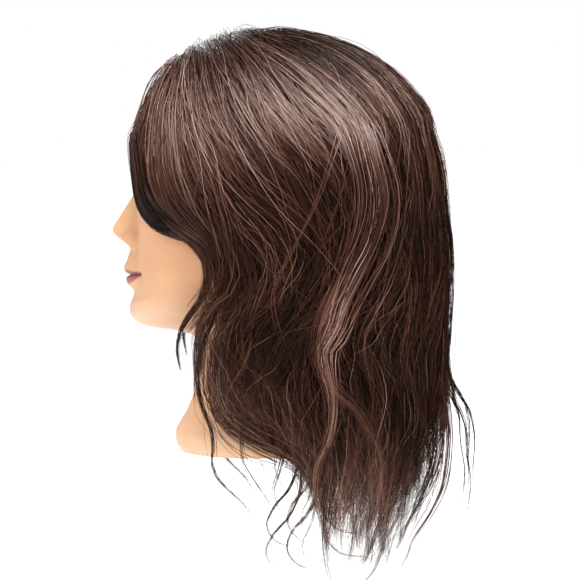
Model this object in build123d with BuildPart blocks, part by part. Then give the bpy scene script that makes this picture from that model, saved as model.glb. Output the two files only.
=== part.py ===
"""Hairdresser's training head: a hollow vinyl head on a neck, filled with foam and carried on a clamp
socket, with hair rooted in its scalp.

Frame: millimetres, +Z up, the face looks along -Y and the head's left side is +X. The origin is the
centre of the clamp socket's mouth, in the plane of the neck's underside.

The head stands on a holder's post, so that its hair hangs free below the neck.
"""

from math import sqrt
import os

from build123d import *

# ---------------------------------------------------------------- driving dimensions
SKULL_LEVEL = 195.0  # height of the widest level of the skull
SKULL_TOP = 281.0  # height of the crown
SKULL_MIDDLE = 18.0  # how far the skull's widest line lies behind the socket's axis
NECK_MIDDLE = 5.0  # the same for the neck
FOREHEAD = -79.0  # frontmost and rearmost points of the skull at its widest level
OCCIPUT = 112.0
SKULL_HALF_WIDTH = 75.0

SKIN = 4.0  # vinyl wall
FIT = 0.15  # gap between the skin and what is cast inside it
SEAL = 1.1  # latex coat over the hair roots
HAIR_GAP = 0.3  # gap between the skin and the hair that lies on it

# Level, frontmost point, rearmost point and half width of each section.
NECK_SECTIONS = (
    (0.0, -50.0, 51.0, 51.0),
    (12.0, -54.0, 55.0, 56.0),
    (28.0, -46.5, 54.0, 51.0),
    (45.0, -40.0, 54.0, 47.5),
    (70.0, -38.0, 58.0, 46.0),
    (105.0, -40.0, 64.0, 47.0),
)
JAW_SECTIONS = (
    (85.0, -74.0, 50.0, 34.0),
    (91.0, -83.0, 60.0, 42.0),
    (102.0, -85.0, 72.0, 49.0),
    (120.0, -83.0, 86.0, 57.0),
    (143.0, -84.0, 100.0, 65.0),
    (170.0, -81.0, 109.0, 71.0),
    (SKULL_LEVEL, FOREHEAD, OCCIPUT, SKULL_HALF_WIDTH),
)
DOME_HEIGHTS = (0.3, 0.55, 0.75, 0.9, 0.98, 0.996)  # shares of the height from widest level to crown

# Outer surface of the hair, in the same form.
HAIR_LEVEL = 190.0
HAIR_TOP = 292.0
HAIR_MIDDLE = 24.0
HAIR_REACH = 120.0  # more than half the hair's width
HAIR_SECTIONS = (
    (-92.0, -10.0, 92.0, 44.0),
    (-65.0, -30.0, 108.0, 62.0),
    (-35.0, -50.0, 130.0, 76.0),
    (0.0, -60.0, 138.0, 84.0),
    (60.0, -70.0, 135.0, 90.0),
    (145.0, -84.0, 137.0, 92.0),
    (HAIR_LEVEL, -87.0, 135.0, 90.0),
)

# Base hardware
SOCKET_BORE = 12.5  # radius
SOCKET_WALL = 3.0
SOCKET_DEPTH = 64.0
COLLAR_RADIUS = 22.0
COLLAR_THICK = 3.0
CAP_RADIUS = 18.0
CAP_THICK = 3.0
PLATE_RADIUS = 41.8
PLATE_FLANGE_RADIUS = 45.0
PLATE_FLANGE = 3.0
LIP_RADIUS = 42.0  # opening in the skin's underside
RING_RADIUS = 43.0
RING_THICK = 9.0
SCREW_CIRCLE = 32.0
SCREW_SHANK = 1.75
SCREW_HEAD = 4.0
SCREW_LENGTH = 15.0
SCREW_COUNT = 4

# Face
EYE_LEVEL = 178.0
EYE_OFFSET = 31.0
LASH_WIDTH = 28.0
LASH_LENGTH = 8.0
LASH_THICK = 0.8
EAR_LEVEL = 172.0
EAR_MIDDLE = 24.0

SOCKET_OUTER = SOCKET_BORE + SOCKET_WALL
PLATE_TOP = SKIN + PLATE_FLANGE
RING_TOP = PLATE_TOP + RING_THICK
COLLAR_TOP = RING_TOP + COLLAR_THICK
LEFT, RIGHT = 1, -1
FAR = 400.0  # beyond the part in any direction


# ---------------------------------------------------------------- shared shapes
def egg(level, front, back, half_width, middle):
    """Section at one level: two half ellipses that meet on the widest line."""
    with BuildSketch(Plane.XY.offset(level)) as section:
        with BuildLine():
            EllipticalCenterArc((0, middle), half_width, back - middle, 0, arc_size=180)
            EllipticalCenterArc((0, middle), half_width, middle - front, 180, arc_size=180)
        make_face()
    return section.sketch


def dome(level, top, middle, front, back, half_width):
    """Sections of the rounded top, above the widest level."""
    sections = []
    for share in DOME_HEIGHTS:
        narrow = sqrt(1 - share**2)
        sections.append(
            egg(
                level + (top - level) * share,
                middle - (middle - front) * narrow,
                middle + (back - middle) * narrow,
                half_width * narrow,
                middle,
            )
        )
    return sections


def skull(inset):
    """Face and skull, moved inwards by inset, as one loft."""
    with BuildPart() as form:
        sections = []
        for number, (level, front, back, half_width) in enumerate(JAW_SECTIONS):
            raised = inset if number < 2 else 0  # the underside of the jaw moves up
            sections.append(
                egg(level + raised, front + inset, back - inset, half_width - inset, SKULL_MIDDLE)
            )
        sections += dome(
            SKULL_LEVEL,
            SKULL_TOP - inset,
            SKULL_MIDDLE,
            FOREHEAD + inset,
            OCCIPUT - inset,
            SKULL_HALF_WIDTH - inset,
        )
        loft(sections=sections)
    return form.part


def neck(inset):
    """Neck, moved inwards by inset, as one loft."""
    with BuildPart() as form:
        loft(
            sections=[
                egg(level, front + inset, back - inset, half_width - inset, NECK_MIDDLE)
                for level, front, back, half_width in NECK_SECTIONS
            ]
        )
    return form.part


def nose():
    """Bridge, tip and wings of the nose, as a stack of ellipses buried in the face."""
    rows = ((181.0, 4.0, 5.0), (168.0, 6.0, 11.0), (156.0, 11.0, 19.0), (150.0, 14.0, 17.0), (144.0, 11.0, 9.0))
    with BuildPart() as form:
        sections = []
        for level, half_width, reach in rows:
            with BuildSketch(Plane.XY.offset(level)) as row:
                with Locations((0, FOREHEAD)):
                    Ellipse(half_width, reach)
            sections.append(row.sketch)
        loft(sections=sections)
    return form.part


def lips():
    """Upper and lower lip: two rolls that thin out towards the corners of the mouth."""
    with BuildPart() as form:
        for level, thick in ((124.5, 5.2), (118.5, 5.8)):
            sections = []
            for side, share in ((-21.0, 0.2), (-9.0, 0.85), (0.0, 1.0), (9.0, 0.85), (21.0, 0.2)):
                with BuildSketch(Plane.YZ.offset(side)) as row:
                    with Locations((-81.5 + 4.0 * (1 - share), level)):
                        Circle(thick * share)
                sections.append(row.sketch)
            loft(sections=sections)
    return form.part


def ear(side, growth=0.0):
    """Moulded ear on one side of the head."""
    rows = ((64.0, 14.0, 28.0), (74.0, 15.5, 30.0), (81.0 + growth, 13.0, 27.0))
    with BuildPart() as form:
        sections = []
        for level, half_length, half_height in rows:
            with BuildSketch(Plane.YZ.offset(side * level)) as row:
                with Locations(Location((EAR_MIDDLE, EAR_LEVEL), -12)):
                    Ellipse(half_length + growth, half_height + growth)
            sections.append(row.sketch)
        loft(sections=sections)
    return form.part


def scalp_space(above):
    """Everything on one side of the hairline, which falls from the forehead to the nape."""
    hairline = Plane(origin=(0, 10, 168), z_dir=(0, 0.6, 0.8))
    with BuildPart() as space:
        with BuildSketch(hairline.offset(0.1 if above else -0.1)):
            Rectangle(400, 400)
        extrude(amount=300 if above else -300)
    return space.part


# ---------------------------------------------------------------- the head
with BuildPart() as head_skin:
    add(skull(0))
    add(neck(0))
    add(nose())
    add(lips())
    for side in (LEFT, RIGHT):
        add(ear(side))
    add(skull(SKIN), mode=Mode.SUBTRACT)
    with BuildPart(mode=Mode.PRIVATE) as neck_hollow:
        add(neck(SKIN))
        with Locations((0, 0, SKIN / 2)):
            Box(200, 200, SKIN, mode=Mode.SUBTRACT)
    add(neck_hollow.part, mode=Mode.SUBTRACT)
    Cylinder(LIP_RADIUS, 4 * SKIN, mode=Mode.SUBTRACT)

with BuildPart() as root_seal:
    add(skull(SKIN + FIT))
    add(skull(SKIN + FIT + SEAL), mode=Mode.SUBTRACT)
    add(scalp_space(above=True), mode=Mode.INTERSECT)

# ---------------------------------------------------------------- clamp socket and base
with BuildPart() as clamp_socket:
    Cylinder(SOCKET_OUTER, SOCKET_DEPTH, align=(Align.CENTER, Align.CENTER, Align.MIN))
    with Locations((0, 0, RING_TOP)):
        Cylinder(COLLAR_RADIUS, COLLAR_THICK, align=(Align.CENTER, Align.CENTER, Align.MIN))
    rib_height = 32.0
    rib_thick = 2.0
    with PolarLocations(SOCKET_OUTER + 1.5, 4):
        with Locations((0, 0, COLLAR_TOP + rib_height / 2)):
            Box(5.0, rib_thick, rib_height)
    Cylinder(SOCKET_BORE, 4 * SOCKET_DEPTH, mode=Mode.SUBTRACT)

with BuildPart() as socket_cap:
    with Locations((0, 0, SOCKET_DEPTH)):
        Cylinder(CAP_RADIUS, CAP_THICK, align=(Align.CENTER, Align.CENTER, Align.MIN))
    chamfer(edges().filter_by(GeomType.CIRCLE).sort_by(Axis.Z)[-1:], 1.0)

with BuildPart() as base_plate:
    Cylinder(PLATE_RADIUS, PLATE_TOP, align=(Align.CENTER, Align.CENTER, Align.MIN))
    with Locations((0, 0, SKIN)):
        Cylinder(PLATE_FLANGE_RADIUS, PLATE_FLANGE, align=(Align.CENTER, Align.CENTER, Align.MIN))
    Cylinder(SOCKET_OUTER, 4 * PLATE_TOP, mode=Mode.SUBTRACT)
    with BuildSketch(Plane.XY):
        with PolarLocations(SCREW_CIRCLE, SCREW_COUNT, start_angle=45):
            Circle(SCREW_SHANK)
    extrude(amount=PLATE_TOP, mode=Mode.SUBTRACT)
    with PolarLocations(SCREW_CIRCLE, SCREW_COUNT, start_angle=45):
        Cone(
            SCREW_HEAD,
            SCREW_SHANK,
            SCREW_HEAD - SCREW_SHANK,
            align=(Align.CENTER, Align.CENTER, Align.MIN),
            mode=Mode.SUBTRACT,
        )

with BuildPart() as backing_ring:
    with Locations((0, 0, PLATE_TOP)):
        Cylinder(RING_RADIUS, RING_THICK, align=(Align.CENTER, Align.CENTER, Align.MIN))
    Cylinder(SOCKET_OUTER, 4 * RING_TOP, mode=Mode.SUBTRACT)
    with PolarLocations(SCREW_CIRCLE, SCREW_COUNT, start_angle=45):
        Cylinder(SCREW_SHANK, 2 * SCREW_LENGTH, mode=Mode.SUBTRACT)

with BuildPart() as base_screws:
    with BuildPart(mode=Mode.PRIVATE) as screw:
        head_height = SCREW_HEAD - SCREW_SHANK
        Cone(SCREW_HEAD, SCREW_SHANK, head_height, align=(Align.CENTER, Align.CENTER, Align.MIN))
        Cylinder(SCREW_SHANK, SCREW_LENGTH, align=(Align.CENTER, Align.CENTER, Align.MIN))
        slot_depth = 1.2
        for turn in (0, 90):  # cross recess
            with Locations(Location((0, 0, 0), (0, 0, turn))):
                Box(4.0, 0.9, 2 * slot_depth, mode=Mode.SUBTRACT)
    with PolarLocations(SCREW_CIRCLE, SCREW_COUNT, start_angle=45):
        add(screw.part)

with BuildPart() as foam_core:
    add(skull(SKIN + FIT + SEAL + FIT))
    with BuildPart(mode=Mode.PRIVATE) as below_seal:
        add(skull(SKIN + FIT))
        add(scalp_space(above=False), mode=Mode.INTERSECT)
    add(below_seal.part)
    add(neck(SKIN + FIT))
    with Locations((0, 0, -1)):
        Box(200, 200, RING_TOP + 1, align=(Align.CENTER, Align.CENTER, Align.MIN), mode=Mode.SUBTRACT)
    Cylinder(SOCKET_BORE, 2 * SOCKET_DEPTH, mode=Mode.SUBTRACT)
    add(clamp_socket.part, mode=Mode.SUBTRACT)
    add(socket_cap.part, mode=Mode.SUBTRACT)


# ---------------------------------------------------------------- eyelashes
def lash_space(side, grow=0.0):
    """Room taken by one strip lash, from inside the head out to its tips."""
    with BuildPart() as space:
        with Locations((side * EYE_OFFSET, -FAR / 2, EYE_LEVEL)):
            Box(LASH_WIDTH + 2 * grow, FAR, LASH_THICK + 2 * grow)
    return space.part


def lash_strip(side):
    """Strip lash: a thin fan on the upper eyelid that follows the curve of the face."""
    with BuildPart() as strip:
        add(lash_space(side))
        add(skull(-LASH_LENGTH), mode=Mode.INTERSECT)
        add(skull(0), mode=Mode.SUBTRACT)
    return strip.part


# ---------------------------------------------------------------- hair
def hair_outline():
    """The hair seen from the side, as a face in the YZ plane: fringe, lock over the cheek, ends."""
    with BuildSketch(Plane.YZ.offset(-HAIR_REACH)) as outline:
        with BuildLine():
            Spline((-90, 192), (-76, 176), (-71, 156), (-60, 148), (-44, 146), (-34, 130), (-36, 108), (-42, 92))
            Line((-42, 92), (-42, 84))
            Spline((-42, 84), (-38, 60), (-28, 32), (-2, 8), (24, -6), (33, -50), (40, -100))
            Polyline((40, -100), (200, -100), (200, 320), (-120, 320), (-120, 192), (-90, 192))
        make_face()
    return outline.sketch


def face_window():
    """The part of the face that the hair leaves open between the two sides of the fringe."""
    with BuildPart() as window:
        with BuildSketch(Plane.XZ.offset(20)) as outline:
            with BuildLine():
                half = Spline((0, 188), (17, 168), (34, 148), (43, 128), (46, 100), (46, 60))
                mirror(half, about=Plane.YZ)
                Line((46, 60), (-46, 60))
            make_face()
        extrude(amount=120)
    return window.part


with BuildPart() as hair_mass:
    hair_rows = [egg(*row, HAIR_MIDDLE) for row in HAIR_SECTIONS]
    _, hair_front, hair_back, hair_half_width = HAIR_SECTIONS[-1]
    hair_rows += dome(HAIR_LEVEL, HAIR_TOP, HAIR_MIDDLE, hair_front, hair_back, hair_half_width)
    loft(sections=hair_rows)
    with BuildPart(mode=Mode.PRIVATE) as side_view:
        extrude(hair_outline(), amount=2 * HAIR_REACH, dir=(1, 0, 0))
    add(side_view.part, mode=Mode.INTERSECT)
    add(face_window(), mode=Mode.SUBTRACT)
    add(skull(-HAIR_GAP), mode=Mode.SUBTRACT)
    add(neck(-HAIR_GAP), mode=Mode.SUBTRACT)
    for side in (LEFT, RIGHT):
        add(ear(side, growth=HAIR_GAP), mode=Mode.SUBTRACT)
        add(lash_space(side, grow=1.0), mode=Mode.SUBTRACT)
    # room under the base for the holder
    holder_room = 58.0
    with Locations((0, 0, 0)):
        Cylinder(
            holder_room, 140, align=(Align.CENTER, Align.CENTER, Align.MAX), mode=Mode.SUBTRACT
        )

# Each zone of the hair: lowest and highest Y, lowest and highest Z.
FRINGE_BACK = -45.0
SIDE_BACK = 50.0
TOP_LEVEL = 225.0
ENDS_LEVEL = 62.0
HAIR_ZONES = {
    "fringe": (-FAR, FRINGE_BACK, -FAR, FAR),
    "top": (FRINGE_BACK, SIDE_BACK, TOP_LEVEL, FAR),
    "side": (FRINGE_BACK, SIDE_BACK, ENDS_LEVEL, TOP_LEVEL),
    "crown": (SIDE_BACK, FAR, TOP_LEVEL, FAR),
    "back": (SIDE_BACK, FAR, ENDS_LEVEL, TOP_LEVEL),
    "ends": (FRINGE_BACK, FAR, -FAR, ENDS_LEVEL),
}


def hair_zone(side, low_y, high_y, low_z, high_z):
    """One zone of the hair on one side of the parting, clear of its neighbours by the hair gap."""
    gap = HAIR_GAP / 2
    with BuildPart() as zone:
        add(hair_mass.part)
        with Locations((side * gap, low_y + gap, low_z + gap)):
            Box(
                FAR,
                high_y - low_y - 2 * gap,
                high_z - low_z - 2 * gap,
                align=(Align.MIN if side == LEFT else Align.MAX, Align.MIN, Align.MIN),
                mode=Mode.INTERSECT,
            )
    return zone.part


# ---------------------------------------------------------------- write the nodes
nodes = {
    "head_skin": head_skin.part,
    "root_seal": root_seal.part,
    "foam_core": foam_core.part,
    "clamp_socket": clamp_socket.part,
    "socket_cap": socket_cap.part,
    "base_plate": base_plate.part,
    "backing_ring": backing_ring.part,
    "base_screws": base_screws.part,
}
for side, word in ((LEFT, "left"), (RIGHT, "right")):
    nodes[f"eyelashes_{word}"] = lash_strip(side)
    for zone, limits in HAIR_ZONES.items():
        nodes[f"hair_{zone}_{word}"] = hair_zone(side, *limits)

os.makedirs("parts", exist_ok=True)
for name, part in nodes.items():
    part.label = name
    export_step(part, f"parts/{name}.step")
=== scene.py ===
"""Looks of the training head: moulded vinyl skin, base hardware, and hair grown strand by strand.

The head's lengths are in millimetres until a mesh is made, those of the camera, lights and floor in metres.
The face looks along -Y, and the head's left side is +X.
"""

import math

import bpy
import numpy as np
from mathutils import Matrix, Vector


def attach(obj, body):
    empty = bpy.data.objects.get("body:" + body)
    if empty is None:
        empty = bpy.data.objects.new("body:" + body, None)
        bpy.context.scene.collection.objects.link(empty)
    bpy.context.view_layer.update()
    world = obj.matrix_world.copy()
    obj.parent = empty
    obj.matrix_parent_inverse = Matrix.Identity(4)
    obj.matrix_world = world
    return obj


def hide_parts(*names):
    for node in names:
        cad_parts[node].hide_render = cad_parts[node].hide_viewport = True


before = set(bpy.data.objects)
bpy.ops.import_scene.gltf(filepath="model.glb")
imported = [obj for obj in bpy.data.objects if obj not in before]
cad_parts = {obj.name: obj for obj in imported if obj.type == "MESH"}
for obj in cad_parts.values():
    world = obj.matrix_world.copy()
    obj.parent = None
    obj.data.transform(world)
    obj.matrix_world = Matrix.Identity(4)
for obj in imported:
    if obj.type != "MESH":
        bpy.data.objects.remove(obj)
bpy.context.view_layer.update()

MM = 0.001
SIDES = (("left", 1.0), ("right", -1.0))


def add_object(name, data):
    made = bpy.data.objects.new(name, data)
    bpy.context.collection.objects.link(made)
    return made


# -------------------- camera, light and floor
def look_at(thing, place, target):
    """Stands a camera or a light at a place and turns it to a target."""
    thing.location = place
    thing.rotation_mode = "QUATERNION"
    direction = Vector([t - p for t, p in zip(target, place)])
    thing.rotation_quaternion = direction.to_track_quat("-Z", "Y")


def make_camera():
    """Long lens that looks at the head's left side from a little above."""
    azimuth, elevation = math.radians(90), math.radians(4)
    target = (0.0, 0.0248, 0.1104)
    distance = 1.9
    field = 0.4002  # width of the view at the target
    camera = bpy.data.cameras.new("camera")
    camera.sensor_width = 36.0
    camera.lens = 18.0 / (field / 2 / distance)
    holder = add_object("camera", camera)
    place = (
        target[0] + distance * math.sin(azimuth) * math.cos(elevation),
        target[1] - distance * math.cos(azimuth) * math.cos(elevation),
        target[2] + distance * math.sin(elevation),
    )
    look_at(holder, place, target)
    bpy.context.scene.camera = holder


def make_area_light(name, place, size, watts, colour=(1, 1, 1), target=(0, 0.02, 0.12)):
    light = bpy.data.lights.new(name, "AREA")
    light.shape = "DISK"
    light.size = size
    light.energy = watts
    light.color = colour
    look_at(add_object(name, light), place, target)


def make_world():
    """Pale, even light all round; the camera itself sees white."""
    world = bpy.data.worlds.new("studio")
    world.use_nodes = True
    tree = world.node_tree
    tree.nodes.clear()
    out = tree.nodes.new("ShaderNodeOutputWorld")
    ray = tree.nodes.new("ShaderNodeLightPath")
    mix = tree.nodes.new("ShaderNodeMixShader")
    tree.links.new(ray.outputs["Is Camera Ray"], mix.inputs["Fac"])
    for socket, colour, strength in ((1, (0.96, 0.98, 1.0, 1), 0.5), (2, (1, 1, 1, 1), 1.0)):
        backdrop = tree.nodes.new("ShaderNodeBackground")
        backdrop.inputs["Color"].default_value = colour
        backdrop.inputs["Strength"].default_value = strength
        tree.links.new(backdrop.outputs[0], mix.inputs[socket])
    tree.links.new(mix.outputs[0], out.inputs["Surface"])
    bpy.context.scene.world = world


def make_floor():
    """White disc below the ends of the hair, far wider than the view."""
    count, radius, level = 96, 12.0, -0.125
    turns = [2 * math.pi * k / count for k in range(count)]
    rim = [(radius * math.cos(turn), radius * math.sin(turn), level) for turn in turns]
    mesh = bpy.data.meshes.new("floor")
    mesh.from_pydata(rim, [], [range(count)])
    floor = add_object("floor", mesh)
    material = bpy.data.materials.new("floor")
    material.use_nodes = True
    shader = material.node_tree.nodes["Principled BSDF"]
    shader.inputs["Base Color"].default_value = (0.5, 0.5, 0.5, 1)
    shader.inputs["Roughness"].default_value = 0.9
    shader.inputs["Emission Color"].default_value = (1, 1, 1, 1)
    shader.inputs["Emission Strength"].default_value = 0.82
    mesh.materials.append(material)


bpy.context.scene.view_settings.view_transform = "Standard"
make_camera()
make_world()
make_floor()
make_area_light("key", (1.3, -1.1, 1.2), 0.9, 14.0, (1.0, 0.97, 0.93))
make_area_light("top", (0.85, 0.15, 1.75), 0.8, 46.0, (1.0, 0.97, 0.96))
make_area_light("far_side", (-1.4, -0.5, 1.0), 1.0, 10.0)


# -------------------- helpers
def between(x, y, slope, value):
    """Cubic curve through points (x, y), with a slope given at each, at every value of x."""
    i = np.clip(np.searchsorted(x, value, side="right") - 1, 0, len(x) - 2)
    step = (x[i + 1] - x[i])[..., None]
    t = (value - x[i])[..., None] / step
    return (
        (2 * t**3 - 3 * t**2 + 1) * y[i]
        + (t**3 - 2 * t**2 + t) * step * slope[i]
        + (3 * t**2 - 2 * t**3) * y[i + 1]
        + (t**3 - t**2) * step * slope[i + 1]
    )


def curve_through(*points):
    """Smooth function through rows of (input, value, ...) that never overshoots them."""
    rows = np.array(points, float)
    x, y = rows[:, 0], rows[:, 1:]
    rise = np.diff(y, axis=0) / np.diff(x)[:, None]
    slope = np.zeros_like(y)
    same = rise[1:] * rise[:-1] > 0
    total = np.where(same, rise[1:] + rise[:-1], 1.0)
    slope[1:-1] = np.where(same, 2 * rise[1:] * rise[:-1] / total, 0.0)

    def at(value):
        result = between(x, y, slope, np.clip(np.asarray(value, float), x[0], x[-1]))
        return result[..., 0] if y.shape[1] == 1 else result

    return at


def smoothstep(low, high, value):
    t = np.clip((value - low) / (high - low), 0.0, 1.0)
    return t * t * (3 - 2 * t)


def bell(value):
    """1 at 0, fading away on both sides."""
    return np.exp(-(value**2))


def unit(vectors):
    return vectors / np.maximum(np.linalg.norm(vectors, axis=-1, keepdims=True), 1e-9)


def make_mesh(name, points, faces, uv=None, colours=None):
    """Mesh piece from points in mm and a list of arrays of triangles or quads."""
    loops = np.concatenate([group.ravel() for group in faces]).astype(np.int32)
    sizes = np.concatenate([np.full(len(group), group.shape[1]) for group in faces])
    starts = (np.cumsum(sizes) - sizes).astype(np.int32)
    mesh = bpy.data.meshes.new(name)
    mesh.vertices.add(len(points))
    mesh.vertices.foreach_set("co", (points * MM).astype(np.float32).ravel())
    mesh.loops.add(len(loops))
    mesh.loops.foreach_set("vertex_index", loops)
    mesh.polygons.add(len(sizes))
    mesh.polygons.foreach_set("loop_start", starts)
    mesh.polygons.foreach_set("use_smooth", np.ones(len(sizes), bool))
    mesh.update(calc_edges=True)
    if uv is not None:
        layer = mesh.uv_layers.new(name="OFBake")
        layer.data.foreach_set("uv", uv.astype(np.float32).ravel())
    if colours is not None:
        layer = mesh.color_attributes.new("paint", "FLOAT_COLOR", "POINT")
        layer.data.foreach_set("color", colours.astype(np.float32).ravel())
    piece = add_object(name, mesh)
    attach(piece, "root")
    return piece


class Shader:
    """A material's Principled shader with short helpers for its nodes."""

    def __init__(self, name, **sockets):
        self.material = bpy.data.materials.new(name)
        self.material.use_nodes = True
        self.tree = self.material.node_tree
        self.main = self.tree.nodes["Principled BSDF"]
        for socket, value in sockets.items():
            self.main.inputs[socket.replace("_", " ")].default_value = value

    def node(self, kind, **values):
        made = self.tree.nodes.new("ShaderNode" + kind)
        for key, value in values.items():
            if key in made.bl_rna.properties:
                setattr(made, key, value)
            else:
                made.inputs[key.replace("_", " ")].default_value = value
        return made

    def link(self, source, target):
        self.tree.links.new(source, target)

    def feed(self, **sources):
        """Links sources to the main shader's sockets."""
        for socket, source in sources.items():
            self.link(source, self.main.inputs[socket.replace("_", " ")])

    def place(self, scale=None):
        """Place on the object, scaled along its axes where a scale is given."""
        place = self.node("TexCoord").outputs["Object"]
        if scale is None:
            return place
        mapping = self.node("Mapping", vector_type="POINT", Scale=scale)
        self.link(place, mapping.inputs["Vector"])
        return mapping.outputs["Vector"]

    def uv(self):
        """The two parts of the place on the UV map: across and along."""
        split = self.node("SeparateXYZ")
        self.link(self.node("UVMap", uv_map="OFBake").outputs["UV"], split.inputs["Vector"])
        return split.outputs["X"], split.outputs["Y"]

    def ramp(self, source, *stops):
        """Colour ramp on source: stops are (position, colour), where one number is a grey."""
        ramp = self.node("ValToRGB")
        elements = ramp.color_ramp.elements
        while len(elements) < len(stops):
            elements.new(0.5)
        for element, (position, colour) in zip(elements, stops):
            element.position = position
            element.color = (*np.broadcast_to(colour, 3), 1.0)
        self.link(source, ramp.inputs["Fac"])
        return ramp.outputs["Color"]

    def mix(self, kind, factor, first, second):
        """Colour mix; factor and the two colours are numbers, colours or sockets."""
        mix = self.tree.nodes.new("ShaderNodeMix")
        mix.data_type = "RGBA"
        mix.blend_type = kind
        for index, value in ((0, factor), (6, first), (7, second)):
            if isinstance(value, bpy.types.NodeSocket):
                self.link(value, mix.inputs[index])
            else:
                mix.inputs[index].default_value = value if index == 0 else (*value, 1.0)
        return mix.outputs[2]

    def noise(self, scale, detail=2.0, roughness=0.5, place=None):
        noise = self.node("TexNoise", Scale=scale, Detail=detail, Roughness=roughness)
        self.link(place or self.place(), noise.inputs["Vector"])
        return noise.outputs["Fac"]

    def bump(self, source, strength, distance):
        bump = self.node("Bump", Strength=strength, Distance=distance)
        self.link(source, bump.inputs["Height"])
        self.feed(Normal=bump.outputs["Normal"])


# -------------------- form of the head
SKIN = 4.0
BASE_OPENING = 42.0
SKULL_LEVEL, SKULL_HEIGHT = 195.0, 86.0
# Level, then frontmost point, rearmost point, half width and widest line of the section there.
BODY = curve_through(
    (0, -50.5, 51.5, 51.5, 1), (5, -53.8, 54.5, 55.2, 1), (12, -54.5, 55.5, 56, 2), (20, -51, 54.8, 54, 4),
    (28, -46.3, 54, 51, 5), (45, -40.2, 54, 47.5, 5), (62, -37.8, 57, 46, 5), (74, -38.6, 60, 46.5, 6),
    (79, -41.5, 62, 47.5, 6.5), (82, -48.5, 64, 49, 7), (83.6, -58, 65, 50.5, 7.5), (84.8, -68, 66, 52, 8),
    (86.8, -76.5, 67, 53, 8.5), (90, -82, 69, 54, 9), (95, -84.6, 72, 55.5, 10), (100, -84.8, 76, 57, 11),
    (107, -83.2, 82, 59, 13), (115, -83, 88, 61, 15), (125, -83.8, 93, 63, 17), (143, -84, 102, 66.5, 18),
    (155, -83, 106, 69, 18), (170, -81.5, 110, 72, 18), (182, -80.2, 111.6, 74, 18),
    (SKULL_LEVEL, -79, 112, 75, 18),
)
NOSE_RIDGE = curve_through(
    (138, 0), (141, 1.6), (143, 4.2), (145.5, 8), (148, 11.2), (150.5, 13.2), (153, 13.9), (156, 12.9),
    (160, 10.6), (165, 8), (170, 5.4), (174, 3.2), (178, 1.7), (184, 0.6), (192, 0),
)
NOSE_WIDTH = curve_through((138, 12), (145, 9.5), (150, 8.6), (156, 8), (165, 7), (175, 6.6), (192, 10))
UPPER_LIP = curve_through(
    (0, 0.4), (1.1, 3.9), (2.8, 5.3), (5.3, 5.7), (7.8, 4.6), (11, 2.9), (15, 1.6), (19, 0.6), (25, 0),
)
LOWER_LIP = curve_through((0, 0.4), (1.2, 4), (3, 4.9), (5.2, 4.6), (7.7, 3), (10.2, 1), (13, 0.1), (17, 0))
MOUTH_LEVEL = 121.2
MOUTH_HALF_WIDTH = 25.0
EYE = (31.0, 178.0)  # x and z of its middle
EAR = (24.0, 172.0)  # y and z of its middle
EAR_LEAN = math.radians(-12)


# Soft bumps of the face, on both sides: the middle's x and z, the spread over each, and the height.
FACE_BUMPS = (
    # wings of the nose, nostrils, folds beside the nose, and the groove under it with its edges
    (12.2, 147, 4.6, 5.2, 7.6), (5.9, 144.2, 2.5, 1.9, -4.6), (18, 146, 7, 13, -3.2),
    (0, 133.5, 2.3, 5, -1), (4.2, 133.5, 1.8, 5, 0.5),
    # corners of the mouth, chin, the hollow over it, and cheeks
    (24.5, MOUTH_LEVEL + 1.9, 3, 3, -1.8), (0, 97, 13, 8, 0.9), (0, 109.5, 15, 3.5, -0.8),
    (41, 158, 14, 12, 2.2),
    # eye sockets, closed in by the eyeballs, the fold of the lids, and brows
    (*EYE, 15, 10, -5), (*EYE, 11, 6.5, 4.2), (EYE[0], EYE[1] + 7.5, 13, 1.6, -0.9), (28, 195, 19, 5.5, 2.2),
)


def bump_at(x, z, centre_x, centre_z, spread_x, spread_z, height):
    """Soft bump, highest at (centre_x, centre_z)."""
    return height * np.exp(-(((x - centre_x) / spread_x) ** 2) - ((z - centre_z) / spread_z) ** 2)


def from_mouth(x, z):
    """Height over the line of the mouth, which turns up a little at its corners."""
    return z - MOUTH_LEVEL - 1.9 * (x / MOUTH_HALF_WIDTH) ** 2


def lip_spread(x):
    """How full the mouth is at x, from 1 in the middle to 0 at its corners."""
    return np.clip(1 - (np.abs(x) / MOUTH_HALF_WIDTH) ** 2, 0.0, 1.0)


def face_relief(x, z):
    """How far the face stands forward of the plain head form at (x, z)."""
    aside = np.abs(x)
    relief = NOSE_RIDGE(z) * np.exp(-((aside / NOSE_WIDTH(z)) ** 2.6))
    full = lip_spread(x)
    above = from_mouth(x, z) / np.maximum(full, 0.05) ** 0.55
    relief += np.where(above >= 0, UPPER_LIP(above), LOWER_LIP(-above)) * full**0.8
    for bump in FACE_BUMPS:
        relief += bump_at(aside, z, *bump)
    return relief


def ear_relief(y, z):
    """How far the ear stands out of the side of the head at (y, z)."""
    y, z = y - EAR[0], z - EAR[1]
    across = y * math.cos(EAR_LEAN) + z * math.sin(EAR_LEAN)
    along = -y * math.sin(EAR_LEAN) + z * math.cos(EAR_LEAN)
    ring = np.sqrt((across / 15) ** 2 + (along / 29) ** 2)
    body = 4.5 * (1 - smoothstep(0.82, 1.08, ring))
    rim = 2.6 * bell((ring - 0.82) / 0.13) * smoothstep(-26, -6, along)
    bowl = bump_at(across, along, -3, -3, 5.5, 9, -3.5)
    fold = 2.4 * bell((ring - 0.45) / 0.12) * smoothstep(0, 8, along)
    return body + np.where(ring < 1.15, rim + bowl + fold, 0.0)


def section_power(level):
    """Faces are squarer across than a plain ellipse."""
    return 2.0 + 0.25 * smoothstep(88, 125, level)


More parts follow.
